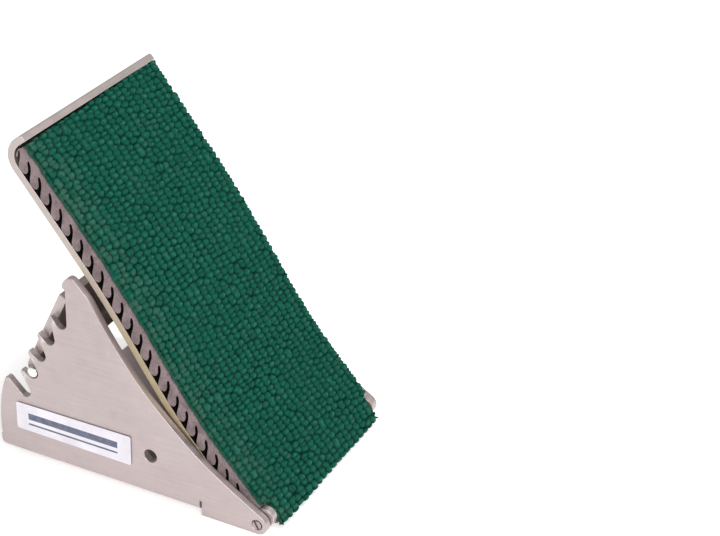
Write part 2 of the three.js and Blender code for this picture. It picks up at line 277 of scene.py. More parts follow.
def round_corner(x, r, dx, dr, steps=5):
    """Profile points of a rounded outer corner of a turned part, from its end face to its side."""
    return [(x + dx * (1 - math.cos(a)), r - dr * (1 - math.sin(a)))
            for a in (math.pi / 2 * i / steps for i in range(steps + 1))]


def bar(name, r, x0, x1, centre, edge=0.0, steps=96):
    if not edge:
        return turned(name, [(x0, r), (x1, r)], centre, steps)
    return turned(name, round_corner(x0, r, edge, edge) + round_corner(x1, r, -edge, edge)[::-1],
                  centre, steps)


def drill(r, x, centre, deep=12.0, sink=0.35):
    """A drill through the face at x, with a small countersink; its sign says which cheek."""
    s = math.copysign(1, x)
    profile = [(x + s * 3, r + sink), (x, r + sink), (x - s * sink, r), (x - s * deep, r)]
    return turned("drill", sorted(profile), centre, 64)


def combine(obj, add=(), keep=(), cut=()):
    """Joins, trims and cuts the object by the others, which are used up."""
    for operation, others in (("UNION", add), ("INTERSECT", keep), ("DIFFERENCE", cut)):
        for other in others:
            boolean = obj.modifiers.new(operation, "BOOLEAN")
            boolean.operation, boolean.solver, boolean.object = operation, "EXACT", other
    bpy.context.view_layer.update()
    graph = bpy.context.evaluated_depsgraph_get()
    mesh = bpy.data.meshes.new_from_object(obj.evaluated_get(graph))
    obj.modifiers.clear()
    obj.data = mesh
    for other in (*add, *keep, *cut):
        bpy.data.objects.remove(other)


def shade(obj, limit=38):
    """Smooth shading, with edges sharper than the limit kept crisp and flat faces kept flat."""
    bm = bmesh.new()
    bm.from_mesh(obj.data)
    bmesh.ops.remove_doubles(bm, verts=bm.verts, dist=1e-6)
    for face in bm.faces:
        face.smooth = True
    for edge in bm.edges:
        edge.smooth = not (len(edge.link_faces) == 2 and edge.calc_face_angle(0) > math.radians(limit))
    bm.to_mesh(obj.data)
    bm.free()
    weighted = obj.modifiers.new("normals", "WEIGHTED_NORMAL")
    weighted.keep_sharp, weighted.weight = True, 80


def place(obj, node, body, slot, *materials, limit=38):
    """Dresses the piece, seats it on its body and puts it in its CAD node's place."""
    shade(obj, limit)
    for i, material in enumerate(materials):
        if i < len(obj.data.materials):
            obj.data.materials[i] = material
        else:
            obj.data.materials.append(material)
    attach(obj, body)
    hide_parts(node)


# ---- materials ----
class Finish:
    """A node material: nodes are added by type, with their inputs given by name or linked."""

    def __init__(self, name):
        self.material = bpy.data.materials.new(name)
        self.material.use_nodes = True
        self.tree = self.material.node_tree
        self.shader = self.tree.nodes["Principled BSDF"]
        self.place = self.add("ShaderNodeTexCoord").outputs["Object"]

    def put(self, node, key, value):
        socket = node.inputs[key]
        if isinstance(value, bpy.types.NodeSocket):
            self.tree.links.new(value, socket)
        else:
            socket.default_value = value

    def add(self, kind, settings=None, inputs=None):
        node = self.tree.nodes.new(kind)
        for key, value in (settings or {}).items():
            setattr(node, key, value)
        for key, value in (inputs or {}).items():
            self.put(node, key, value)
        return node

    def surface(self, **inputs):
        for key, value in inputs.items():
            self.put(self.shader, key.replace("_", " "), value)
        return self.material

    def noise(self, scale, detail=4.0, stretch=(1, 1, 1), rough=0.55):
        mapped = self.add("ShaderNodeMapping", inputs={"Vector": self.place, "Scale": stretch})
        node = self.add("ShaderNodeTexNoise", inputs={
            "Vector": mapped.outputs["Vector"], "Scale": scale, "Detail": detail, "Roughness": rough})
        return node.outputs["Fac"]

    def ramp(self, value, low, high, to_low=0.0, to_high=1.0):
        node = self.add("ShaderNodeMapRange", {"interpolation_type": "SMOOTHSTEP"}, {
            "Value": value, "From Min": low, "From Max": high, "To Min": to_low, "To Max": to_high})
        return node.outputs["Result"]

    def math(self, operation, a, b=0.0):
        node = self.add("ShaderNodeMath", {"operation": operation}, {0: a, 1: b})
        return node.outputs[0]

    def mix(self, amount, a, b):
        node = self.add("ShaderNodeMix", {"data_type": "RGBA"}, {"Factor": amount, 6: a, 7: b})
        return node.outputs[2]

    def attribute(self, name):
        return self.add("ShaderNodeAttribute", {"attribute_name": name}).outputs["Fac"]

    def bump(self, height, distance, strength=1.0, under=None):
        inputs = {"Height": height, "Distance": distance * MM, "Strength": strength}
        if under is not None:
            inputs["Normal"] = under
        return self.add("ShaderNodeBump", inputs=inputs).outputs["Normal"]

    def along(self, direction, origin):
        """Millimetres from the origin along a direction in the row frame."""
        shifted = self.add("ShaderNodeVectorMath", {"operation": "SUBTRACT"},
                           {0: self.place, 1: origin}).outputs[0]
        dot = self.add("ShaderNodeVectorMath", {"operation": "DOT_PRODUCT"},
                       {0: shifted, 1: Vector(direction) / MM})
        return dot.outputs["Value"]


def rgb(r, g, b):
    """A linear colour from 8-bit sRGB values above 10."""
    return tuple(((c / 255 + 0.055) / 1.055) ** 2.4 for c in (r, g, b)) + (1.0,)


def aluminium(name, light, dark, streak, rough=(0.34, 0.5), worn=None, tint=None):
    """Satin anodised aluminium with a rolled grain, faint blotches, scuffs and bright wear."""
    f = Finish(name)
    cloud = f.ramp(f.noise(16, 3), 0.3, 0.7)
    grain = f.noise(900, 3, streak)
    colour = f.mix(cloud, dark, light)
    colour = f.mix(f.ramp(grain, 0.3, 0.72, 0.0, 0.1), colour, (0.8, 0.77, 0.76, 1))
    scuff = f.ramp(f.noise(240, 6, (1, 1.6, 0.55), 0.7), 0.63, 0.72)
    colour = f.mix(f.math("MULTIPLY", scuff, 0.22), colour, (0.86, 0.85, 0.84, 1))
    grime = f.ramp(f.noise(52, 5, (1, 1, 1), 0.65), 0.58, 0.78)
    colour = f.mix(f.math("MULTIPLY", grime, 0.16), colour, (0.16, 0.14, 0.125, 1))
    if worn is not None:
        polished = worn(f)
        colour = f.mix(f.math("MULTIPLY", polished, 0.5), colour, (0.8, 0.78, 0.77, 1))
    # For the foot plate, tint paints a reflection of the green rubber onto its cut edges.
    if tint is not None:
        colour = tint(f, colour)
    roughness = f.ramp(f.noise(130, 5), 0.25, 0.75, *rough)
    normal = f.bump(grain, 0.02, 0.35)
    normal = f.bump(f.noise(2600, 2), 0.012, 0.3, normal)
    return f.surface(Base_Color=colour, Metallic=0.72, Roughness=roughness, Normal=normal)


def tooth_wear(f):
    """Bright where the cross rod has rubbed the notches."""
    y = f.along((0, 1, 0), row(0, 0, 0))
    z = f.along((0, 0, 1), row(0, 0, 0))
    out = f.math("SQRT", f.math("ADD", f.math("MULTIPLY", y, y), f.math("MULTIPLY", z, z)))
    high = f.ramp(z, 40, 50)
    rubbed = f.ramp(f.noise(300, 5), 0.38, 0.66)
    band = f.math("MULTIPLY", f.ramp(out, 151, 156), f.ramp(y, 120.5, 123))
    return f.math("MULTIPLY", f.math("MULTIPLY", band, high), rubbed)


def painted_edge_reflection(f, colour):
    """Painted reflection of the green rubber: the plate's cut edges turn olive towards the hinge."""
    c, s = math.cos(PLATE_ANGLE), math.sin(PLATE_ANGLE)
    u = f.along((0, c, s), row(0, 0, 0))
    side = f.ramp(f.math("ABSOLUTE", f.along((1, 0, 0), row(0, 0, 0))), 63.0, 63.6)
    low = f.ramp(f.math("ADD", u, f.math("MULTIPLY", f.noise(40, 3), 40)), 225, 120)
    low = f.math("MULTIPLY", low, f.ramp(u, 12, 18))
    amount = f.math("MULTIPLY", f.math("MULTIPLY", side, low), 0.62)
    return f.mix(amount, colour, rgb(158, 142, 84))


def plated(name, light, dark, rough, colour_cast=0.25):
    """Zinc plate: bright, faintly clouded and cast, with fine turning marks and dull spots."""
    f = Finish(name)
    cloud = f.ramp(f.noise(90, 4), 0.3, 0.7)
    colour = f.mix(cloud, dark, light)
    colour = f.mix(f.ramp(f.noise(60, 2), 0.45, 0.75, 0, colour_cast), colour, (0.62, 0.6, 0.42, 1))
    spots = f.ramp(f.noise(420, 5, (1, 1, 1), 0.7), 0.62, 0.74, 0, 0.45)
    colour = f.mix(spots, colour, (0.2, 0.19, 0.18, 1))
    turning = f.noise(700, 2, (5, 0.6, 0.6))
    roughness = f.ramp(f.noise(160, 5), 0.3, 0.7, *rough)
    return f.surface(Base_Color=colour, Metallic=0.93, Roughness=roughness,
                     Normal=f.bump(turning, 0.02, 0.3))


def green_rubber():
    """Pebbled track rubber: painted shade in the creases, crowns lightened partly by rubbing and partly
    as painted highlight, dust, pale crumbs and a worn left edge.
    """
    f = Finish("green_rubber")
    crown, tint = f.attribute("crown"), f.attribute("tint")
    # Painted shade and light: through the crown attribute the creases darken to near black and the
    # pebble tops turn lighter.
    colour = f.mix(f.ramp(crown, 0.1, 0.95), (0.0004, 0.015, 0.009, 1), (0.0024, 0.070, 0.045, 1))
    own_tint = f.math("MULTIPLY", f.math("MULTIPLY", tint, crown), 0.4)
    colour = f.mix(own_tint, colour, (0.004, 0.106, 0.068, 1))
    colour = f.mix(f.ramp(f.noise(22, 3), 0.35, 0.7, 0, 0.3), colour, (0.002, 0.062, 0.038, 1))
    # Painted highlight together with real rubbing: spots on the pebble tops are lightened.
    rubbed = f.math("MULTIPLY", f.ramp(crown, 0.8, 1.0), f.ramp(f.noise(380, 5), 0.42, 0.7))
    colour = f.mix(f.math("MULTIPLY", rubbed, 0.45), colour, (0.05, 0.17, 0.12, 1))
    dust = f.math("MULTIPLY", f.ramp(f.noise(120, 6, (1, 1, 1), 0.72), 0.58, 0.74), 0.3)
    colour = f.mix(dust, colour, (0.09, 0.13, 0.10, 1))
    left = f.ramp(f.along((1, 0, 0), row(0, 0, 0)), -34, -62)
    worn = f.math("MULTIPLY", f.math("MULTIPLY", left, crown), f.ramp(f.noise(150, 4), 0.38, 0.62))
    colour = f.mix(f.math("MULTIPLY", worn, 0.45), colour, (0.055, 0.12, 0.085, 1))
    crumbs = f.ramp(f.noise(700, 3), 0.76, 0.79, 0, 0.5)
    colour = f.mix(crumbs, colour, (0.25, 0.32, 0.24, 1))
    roughness = f.ramp(f.noise(500, 4), 0.3, 0.7, 0.36, 0.54)
    normal = f.bump(f.noise(1300, 5, (1, 1, 1), 0.65), 0.12, 0.55)
    return f.surface(Base_Color=colour, Roughness=roughness, Normal=normal, Specular_IOR_Level=0.05)


def grey_rubber(name, light, dark):
    """Granular rubber with pale and dark crumbs."""
    f = Finish(name)
    colour = f.mix(f.ramp(f.noise(150, 4), 0.3, 0.7), dark, light)
    grains = f.noise(1100, 3)
    colour = f.mix(f.ramp(grains, 0.55, 0.7, 0, 0.4), colour, tuple(min(1, 1.45 * c) for c in light))
    colour = f.mix(f.ramp(grains, 0.45, 0.3, 0, 0.55), colour, tuple(0.35 * c for c in dark[:3]) + (1,))
    normal = f.bump(f.noise(850, 4, (1, 1, 1), 0.65), 0.25, 0.7)
    return f.surface(Base_Color=colour, Roughness=f.ramp(f.noise(260, 4), 0.3, 0.7, 0.72, 0.92),
                     Normal=normal, Specular_IOR_Level=0.08)


def label_vinyl():
    """White vinyl with two plain printed bars, slightly scuffed."""
    f = Finish("label_vinyl")
    low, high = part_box("side_label")
    y = f.along((0, -1, 0), Vector((0, high.y, low.z)))
    z = f.along((0, 0, 1), Vector((0, high.y, low.z)))
    paper = f.mix(f.ramp(f.noise(60, 4), 0.3, 0.7), (0.66, 0.62, 0.68, 1), (0.78, 0.75, 0.8, 1))
    ink = f.mix(f.ramp(f.noise(300, 4), 0.35, 0.75), (0.07, 0.085, 0.15, 1), (0.12, 0.135, 0.21, 1))

    def band(value, a, b):
        return f.math("MULTIPLY", f.ramp(value, a - 0.1, a + 0.1), f.ramp(value, b + 0.1, b - 0.1))

    thick, thin = (f.math("MULTIPLY", band(y, *LABEL_BAR_ENDS), band(z, *bar)) for bar in LABEL_BARS)
    colour = f.mix(f.math("ADD", thick, thin), paper, ink)
    scuff = f.ramp(f.noise(260, 6, (1, 0.6, 2), 0.7), 0.64, 0.72, 0, 0.3)
    colour = f.mix(scuff, colour, (0.42, 0.4, 0.42, 1))
    return f.surface(Base_Color=colour, Roughness=f.ramp(f.noise(120, 4), 0.3, 0.7, 0.3, 0.46),
                     Normal=f.bump(f.noise(220, 3), 0.05, 0.25), Coat_Weight=0.2)


SHEET = aluminium("channel_sheet", (0.468, 0.394, 0.388, 1), (0.425, 0.358, 0.352, 1), (1, 0.05, 2.2),
                  worn=tooth_wear)
PLATE = aluminium("plate_sheet", (0.52, 0.45, 0.43, 1), (0.46, 0.40, 0.38, 1), (0.05, 1.6, 1.6),
                  tint=painted_edge_reflection)
PROP = aluminium("prop_extrusion", (0.50, 0.43, 0.42, 1), (0.43, 0.37, 0.36, 1), (0.05, 2, 2))
ZINC = plated("zinc_plate", (0.74, 0.73, 0.71, 1), (0.58, 0.57, 0.56, 1), (0.2, 0.36))
STEEL = plated("plain_steel", (0.56, 0.535, 0.52, 1), (0.44, 0.42, 0.41, 1), (0.28, 0.46), 0.1)
SCREW = plated("screw_steel", (0.45, 0.385, 0.375, 1), (0.33, 0.28, 0.27, 1), (0.36, 0.54), 0.1)
GREEN = green_rubber()
GREY = grey_rubber("grey_rubber", (0.27, 0.208, 0.215, 1), (0.165, 0.125, 0.130, 1))
# Painted shade: near-black rubber for the insides of the open cells and for the plate face seen through
# them.
CELL_SHADE = grey_rubber("painted_cell_shade", (0.011, 0.008, 0.006, 1), (0.005, 0.004, 0.003, 1))
LABEL = label_vinyl()


# ---- channel: two toothed cheeks and the floor between them ----
def notch(i):
    c, below = NOTCHES[i], polar(TOOTH_R, TOOTH_TIPS[i] + TIP_HALF)
    start = touch(below, c, NOTCH_R, -1)
    if i == 0:
        return [below, *arc(c, NOTCH_R, start, -180, 18), (c[0] - NOTCH_R, 113.2)]
    above = polar(TOOTH_R, TOOTH_TIPS[i - 1] - TIP_HALF)
    return [below, *arc(c, NOTCH_R, start, touch(above, c, NOTCH_R, 1) - 360, 20), above]


def cheek_outline():
    tip = polar(TOOTH_R, TOOTH_TIPS[3] - TIP_HALF)
    front = touch(tip, LOW_SLOT, LOW_SLOT_R, 1) - 360
    crown = curve_through([
        (120.2, 114.2), (119.8, 116.6), (118.4, 119.0), (116.6, 120.8), (114.6, 121.5),
        (112.4, 120.8), (110.2, 118.6), (106.6, 115.1), (103.8, 112.2), (101.8, 109.4)], 3)
    ramp = curve_through([
        (101.8, 109.4), (99, 104.5), (94, 96.0), (89, 88.5), (84, 81.4), (79, 74.6), (74, 68.1),
        (69, 62.2), (64, 56.9), (59, 51.8), (54, 46.9), (49, 42.2), (44, 37.6), (39, 33.3),
        (34, 29.3), (29, 25.6), (24, 22.2), (19, 18.9), (14, 15.7), (9, 12.6), (4, 9.4)], 2)
    rear = curve_through([(166.6, 8), (166.6, 18), (165.7, 28.4), (164.5, 34.5), (163.3, 39.5)], 4)
    return [(0, FOOT_Z), (FLOOR_FRONT - SLIT, FOOT_Z), (FLOOR_FRONT - SLIT, 3.0), (165.6, 3.0), *rear,
            *arc((160.1, 43.3), 1.8, 21, ARM_LEAN + 90, 10),
            *arc(LOW_SLOT, LOW_SLOT_R, ARM_LEAN - 90, front, 18), tip,
            *notch(3), *notch(2), *notch(1), *notch(0), *crown, *ramp,
            *arc((0, 0), BOSS_R, 122, 262, 18)]


def floor_section():
    top, stand, r = FLOOR_Z + WALL, 5.2, 1.2
    left = [(-CHEEK_OUT, stand), *arc((-CHEEK_IN, top), WALL, 180, 270, 12)]
    right = [(-x, z) for x, z in reversed(left)]
    inner = [*arc((CHEEK_IN - r, top + r), r, 0, -90, 6),
             *arc((-CHEEK_IN + r, top + r), r, -90, -180, 6)]
    return [*left, *right, (CHEEK_IN, stand), *inner, (-CHEEK_IN, stand)]


def make_channel():
    floor = along("floor", floor_section(), FLOOR_FRONT - 0.4, 166.6)
    rear = [(0, FLOOR_Z - 0.01), *arc((160.2, 2.9), 6.41, -90, 0, 14), (166.61, 40), (0, 40)]
    combine(floor, keep=[across("rear", rear, -80, 80)],
            cut=[block("cut", (-59, 59), (FLOOR_REAR, 180), (-10, 20))])
    channel = across("channel_body", cheek_outline(), -CHEEK_OUT, -CHEEK_IN, 0.55)
    right = across("right", cheek_outline(), CHEEK_IN, CHEEK_OUT, 0.55)
    cuts = [block("slit", x, (FLOOR_FRONT - SLIT, FLOOR_FRONT), (-20, SLIT_TOP))
            for x in ((-75, -58), (58, 75))]
    cuts += [drill(4.0, -CHEEK_OUT, ACCESS_HOLE)]
    cuts += [drill(SCREW_R + GAP, s * CHEEK_OUT, (0, 0)) for s in (-1, 1)]
    cuts += [drill(STUD_HOLE_R + GAP, CHEEK_OUT, c) for c in STUDS.values()]
    combine(channel, add=[right, floor], cut=cuts)
    place(channel, "channel", "base", "satin_aluminium", SHEET)


def make_label():
    corners = [(80.2, 14.05), (153.4, 14.85), (153.4, 29.8), (80.2, 30.4)]
    starts = (180, 270, 0, 90)
    outline = [p for c, a in zip(corners, starts) for p in arc(c, 1.2, a, a + 90, 6)]
    label = across("maker_label_blank", outline, -CHEEK_OUT - GAP - 0.5, -CHEEK_OUT - GAP, 0.12, 2)
    place(label, "side_label", "base", "label_vinyl", LABEL)


# ---- hinge screws and rail studs ----
def make_hinge_screw(side, s):
    face, tail = s * (CHEEK_OUT + 0.35), s * (PAD_HALF - KNUCKLE_W + 0.3)
    screw = bar(f"hinge_screw_{side}_head", SCREW_R, min(face, tail), max(face, tail), (0, 0), 0.35)
    edge = face - s * 1.1
    x = (min(face + s * 0.2, edge), max(face + s * 0.2, edge))
    c, n = polar(1, 62), polar(1, 152)
    slot = [(a * 5 * c[0] + b * SLOT_HALF * n[0], a * 5 * c[1] + b * SLOT_HALF * n[1])
            for a, b in ((-1, -1), (1, -1), (1, 1), (-1, 1))]
    combine(screw, cut=[across("slot", slot, *x)])
    place(screw, f"hinge_screw_{side}", "base", "plain_steel", SCREW)


def make_stud(where, centre):
    x = CHEEK_OUT + GAP
    flange = bar(f"{where}_stud_washer", 11.2, x, x + 2.5, centre, 0.6)
    combine(flange, cut=[bar("bore", STUD_HOLE_R + GAP, 60, 80, centre)])
    place(flange, f"{where}_stud_flange", "base", "zinc_plate", ZINC)

    x += 2.5 + GAP
    fillet = [(x + 5.6 - 0.6 * math.sin(a), 7.6 + 0.6 * (1 - math.cos(a))) for a in (0.0, 0.5, 1.0, 1.5)]
    profile = [(CHEEK_IN - 7.0, 4.4), (CHEEK_IN - 6.1, STUD_HOLE_R), (x, STUD_HOLE_R), (x, 7.6),
               *sorted(fillet), (x + 5.6, 11.3), *round_corner(x + 5.6, 12.1, 0.8, 0.8)[1:],
               *round_corner(x + 9.6, 12.1, -1.1, 1.1)[::-1], (x + 9.6, 4.0), (x + 9.25, 3.6),
               (x + 7.0, 3.6), (x + 6.4, 0.05)]
    stud = turned(f"{where}_stud_head", profile, centre, 128)
    place(stud, f"{where}_stud", "base", "zinc_plate", ZINC)

    nut = across(f"{where}_stud_hex", arc(centre, 9.2, 0, 300, 5), CHEEK_IN - GAP - 6, CHEEK_IN - GAP)
    x0, x1 = CHEEK_IN - GAP - 6, CHEEK_IN - GAP
    dome = turned("dome", [(x0, 7.9), (x0 + 1.0, 9.5), (x1 - 0.3, 9.5), (x1, 9.0)], centre)
    combine(nut, keep=[dome], cut=[bar("bore", STUD_HOLE_R + GAP, 50, 70, centre)])
    place(nut, f"{where}_stud_nut", "base", "zinc_plate", ZINC)


# ---- foot plate ----
def make_foot_plate():
    """The bent plate and its two knuckles; the face under the rubber gets painted shade, near black."""
    front = [*along_face(0, 4, BEND[0]), *arc(BEND, LIP_R, -90, 0, 18), (LIP_U, LIP_END)]
    back = [*along_face(-PLATE_T, 3.6, BEND[0]), *arc(BEND, LIP_R + PLATE_T, -90, 0, 18),
            (LIP_U + PLATE_T, LIP_END - 0.9), (LIP_U + PLATE_T - 0.9, LIP_END)]
    plate = across("foot_plate_sheet", to_side(back + front[::-1]), -PAD_HALF, PAD_HALF, 0.35)
    lug = to_side([(14, -11.4), (14, -7.4), *arc(KNUCKLE_NOSE, KNUCKLE_R - 0.3, 0, 170, 24),
                   *arc((0, 0), KNUCKLE_R, 176, 270, 16), (3.6, -10.7)])
    ears = [across("ear", lug, min(x), max(x), 0.35)
            for x in ((-PAD_HALF, KNUCKLE_W - PAD_HALF), (PAD_HALF - KNUCKLE_W, PAD_HALF))]
    combine(plate, add=ears, cut=[bar("bore", SCREW_R + 0.08, -80, 80, (0, 0))])
    plate.data.materials.append(PLATE)
    plate.data.materials.append(CELL_SHADE)
    # Painted shade: the plate's front face under the rubber's open cells takes the near-black cell
    # material.
    for face in plate.data.polygons:
        x, u, h = over_plate(face.center)
        if abs(x) < 58 and 14 < u < BEND[0] and abs(h) < 0.2:
            face.material_index = 1
    place(plate, "foot_plate", "footplate", "satin_aluminium", PLATE, CELL_SHADE)


# ---- rubber facing ----
def ear_cuts():
    cut = to_side([(-30, 40), (-30, -40), (16, -40), (16, -6.7), (11.5, -2.6), (7.1, 2.8), (6.2, 6),
                   (5.8, 40)])
    edge = PAD_HALF - KNUCKLE_W - GAP
    return [across("cut", cut, *x) for x in ((-90, -edge), (edge, 90))]


def make_rubber_base():
    """The grey layer, its underside moulded into leaning feet with open cells between them."""
    under = [tuple(float(c) for c in face_uv(6.5, GAP))]
    tip = CELL_TOP - CELL_PITCH * 21
    while tip < CELL_TOP + 1:
        under += [tuple(float(c) for c in face_uv(tip + s, h)) for h, s in CELL]
        tip += CELL_PITCH
    under += [tuple(float(c) for c in face_uv(u, h)) for h, u in LAST_CELL]
    crown = [*arc(BEND, LIP_R - 1.2, -44, -8, 8), (PAD_TOP - 0.5, BEND[1] + 0.9),
             (PAD_TOP - 0.5, BASE_HIGH - 3.9)]
    over = along_face(BASE_HIGH, 5.0, PAD_TOP - 0.6)
    outline = to_side([(-6.6, 3.9), (1.4, -6.0), *under, *crown, *over[::-1]])
    base = across("rubber_base_layer", outline, -PAD_HALF, PAD_HALF)
    combine(base, cut=ear_cuts())
    base.data.materials.append(GREY)
    base.data.materials.append(CELL_SHADE)
    # Painted shade: the insides of the open cells take the near-black cell material.
    for face in base.data.polygons:
        x, u, h = over_plate(face.center)
        if abs(x) < 58 and 12 < u and 0.5 < h < 9.2:
            face.material_index = 1
    place(base, "rubber_base", "footplate", "grey_rubber", GREY, CELL_SHADE)


def pebbles(x, u):
    """How far each point is from the nearest crease, and its pebble's tint and lift."""
    rng = np.random.default_rng(5)
    px, pu = PEBBLE
    x0, u0 = -PAD_HALF - 3 * px, -30.0
    cols, rows = int(2 * -x0 / px) + 2, int((PAD_TOP + 20 - u0) / pu) + 2
    ci, cj = np.meshgrid(np.arange(cols), np.arange(rows), indexing="ij")
    sway = np.cumsum(rng.normal(0, 0.22, (rows,)))
    sway = sway - np.convolve(np.pad(sway, 12, "edge"), np.ones(25) / 25, "valid")
    phase = rng.random((cols, 1))
    seed_x = x0 + (ci + 0.5) * px + sway[None, :] + rng.normal(0, 0.07, (cols, rows)) * px
    seed_u = u0 + (cj + phase) * pu + rng.normal(0, 0.22, (cols, rows)) * pu
    family = np.arange(cols * rows).reshape(cols, rows)
    joined = rng.random((cols, rows)) < 0.03
    family[:, 1:][joined[:, 1:]] = family[:, :-1][joined[:, 1:]]
    tint, lift = rng.random(cols * rows), rng.normal(0, 0.15, cols * rows)

    ix = np.floor((x - x0) / px).astype(int)
    iu = np.floor((u - u0) / pu).astype(int)
    near, own_x, own_u = np.full(x.shape, 1e9), np.zeros(x.shape), np.zeros(x.shape)
    own = np.zeros(x.shape, int)
    window = [(i, j) for i in (-2, -1, 0, 1, 2) for j in (-3, -2, -1, 0, 1, 2, 3)]

    def seeds(i, j):
        a, b = np.clip(ix + i, 0, cols - 1), np.clip(iu + j, 0, rows - 1)
        return seed_x[a, b], seed_u[a, b], family[a, b]

    for i, j in window:
        sx, su, who = seeds(i, j)
        d = ((x - sx) / px) ** 2 + ((u - su) / pu) ** 2
        closer = d < near
        near, own = np.where(closer, d, near), np.where(closer, who, own)
        own_x, own_u = np.where(closer, sx, own_x), np.where(closer, su, own_u)
    closeness = np.full(x.shape, 1e-9)
    for i, j in window:
        sx, su, who = seeds(i, j)
        d = ((x - sx) / px) ** 2 + ((u - su) / pu) ** 2
        slope = np.hypot((sx - own_x) / px ** 2, (su - own_u) / pu ** 2)
        gap = np.where(who == own, 1e9, (d - near) / 2 / np.maximum(slope, 1e-6))
        gap = gap + COLUMN_JOIN * (who // rows == own // rows)
        closeness += np.exp(-PEBBLE_SHARP * gap)
    return -np.log(closeness) / PEBBLE_SHARP, tint[own], lift[own]


def make_rubber_face():
    """The green layer: one dense sheet whose pebbles, creases and ragged border are modelled."""
    ear, ledge, foot = PAD_HALF - KNUCKLE_W - GAP, PAD_LEDGE, PAD_FOOT
    outer = round((PAD_HALF - ear) / PEBBLE_GRID)
    across_pad = np.concatenate([np.linspace(-PAD_HALF, -ear, outer + 1)[:-1],
                                 np.linspace(-ear, ear, round(2 * ear / PEBBLE_GRID) + 1),
                                 np.linspace(ear, PAD_HALF, outer + 1)[1:]])
    step = round((ledge - foot) / PEBBLE_GRID)
    up_pad = np.concatenate([np.linspace(foot, ledge, step + 1)[:-1],
                             np.linspace(ledge, PAD_TOP, round((PAD_TOP - ledge) / PEBBLE_GRID) + 1)])
    cols, rows = len(across_pad), len(up_pad)
    x, u = np.meshgrid(across_pad, up_pad, indexing="ij")
    crease, tint, lift = pebbles(x, u)
    crown = 1 - (1 - np.clip((crease + 0.08) / PEBBLE_FLANK, 0, 1)) ** 2.2

    to_side_edge = np.where(u < ledge, ear, PAD_HALF) - np.abs(x)
    over_ledge = np.where(np.abs(x) > ear, u - ledge, 1e9)
    border = np.minimum(np.minimum(to_side_edge, PAD_TOP - u), np.minimum(u - foot, over_ledge))
    border = np.clip(border, 0, None)
    within = EDGE_ROUND - np.clip(border, 0, EDGE_ROUND)
    fall = EDGE_ROUND - np.sqrt(np.clip(EDGE_ROUND ** 2 - within ** 2, 0, None))
    near_top = np.clip((u - SKEW_FROM) / (PAD_TOP - SKEW_FROM), 0, 1)
    u = u + TOP_SKEW * near_top * (0.5 + 0.5 * x / PAD_HALF)
    h = FACE_HIGH + PEBBLE_PROUD + lift * crown - PEBBLE_DEPTH * (1 - crown) - fall
    ragged = np.clip(1 - border / EDGE_RAGGED, 0, 1) * (1.3 * (1 - crown) + 0.3 * tint)
    pull_x = np.where(np.minimum(PAD_TOP - u, u - foot) > 1, np.sign(x) * ragged, 0)
    pull_down, pull_up = PAD_TOP - u < 1, np.minimum(u - foot, over_ledge) < 1
    pull_u = np.where(pull_down, ragged, 0) - np.where(pull_up, ragged, 0)
    x, u = x - pull_x, u - pull_u

    def points(x, u, h):
        pu, pv = face_uv(u, h)
        y, z = on_plate(pu, pv)
        return np.stack([MID_X + x * MM, HINGE.y + y * MM, HINGE.z + z * MM], axis=-1)

    a, b, last, top = outer, cols - 1 - outer, cols - 1, rows - 1
    rim = [(i, 0) for i in range(a, b)] + [(b, j) for j in range(0, step)]
    rim += [(i, step) for i in range(b, last)] + [(last, j) for j in range(step, top)]
    rim += [(i, top) for i in range(last, 0, -1)] + [(0, j) for j in range(top, step, -1)]
    rim += [(i, step) for i in range(0, a)] + [(a, j) for j in range(step, 0, -1)]
    ri, rj = np.array([p[0] for p in rim]), np.array([p[1] for p in rim])

    number = np.full((cols, rows), -1)
    shown = ~((np.abs(np.meshgrid(across_pad, up_pad, indexing="ij")[0]) > ear + 1e-6)
              & (np.arange(rows)[None, :] < step))
    number[shown] = np.arange(shown.sum())
    vertices = [points(x, u, h)[shown]]
    crowns, tints = [crown[shown]], [tint[shown]]
    q = np.stack([number[:-1, :-1], number[1:, :-1], number[1:, 1:], number[:-1, 1:]], axis=-1)
    faces = [tuple(f) for f in q[(q >= 0).all(axis=-1)].tolist()]

    ring = number[ri, rj].tolist()
    for height, lean in ((FACE_HIGH - 1.9, 0.7), (FACE_LOW, 1.6)):
        lower = u[ri, rj] + np.where(rj == 0, lean, 0)
        count = sum(len(v) for v in vertices)
        vertices.append(points(x[ri, rj], lower, np.full(len(rim), height)))
        # The border's walls get high crown and tint values, so they take the pebble tops' lighter
        # colour: painted light.
        crowns.append(np.full(len(rim), 0.9))
        tints.append(np.full(len(rim), 0.9))
        below = list(range(count, count + len(rim)))
        faces += [(ring[k - 1], ring[k], below[k], below[k - 1]) for k in range(len(rim))]
        ring = below
    under = dict(zip(rim, ring))                # the flat underside, closed row by row
    for j in range(top):
        left, right = (a, b) if j < step else (0, last)
        low, high = [(left, j), (right, j)], [(right, j + 1), (left, j + 1)]
        if j in (0, step):
            low = [(i, j) for i in range(left, right + 1)]
        if j + 1 == top:
            high = [(i, top) for i in range(right, left - 1, -1)]
        faces.append(tuple(under[p] for p in (*low, *high) if p in under))

    mesh = bpy.data.meshes.new("rubber_face_pebbles")
    mesh.from_pydata(np.concatenate(vertices).tolist(), [], faces)
    for name, values in (("crown", crowns), ("tint", tints)):
        layer = mesh.attributes.new(name, "FLOAT", "POINT")
        layer.data.foreach_set("value", np.concatenate(values).astype(np.float32))
    mesh.update()
    face = bpy.data.objects.new("rubber_face_pebbles", mesh)
    bpy.context.scene.collection.objects.link(face)
    place(face, "rubber_face", "footplate", "green_rubber", GREEN, limit=80)


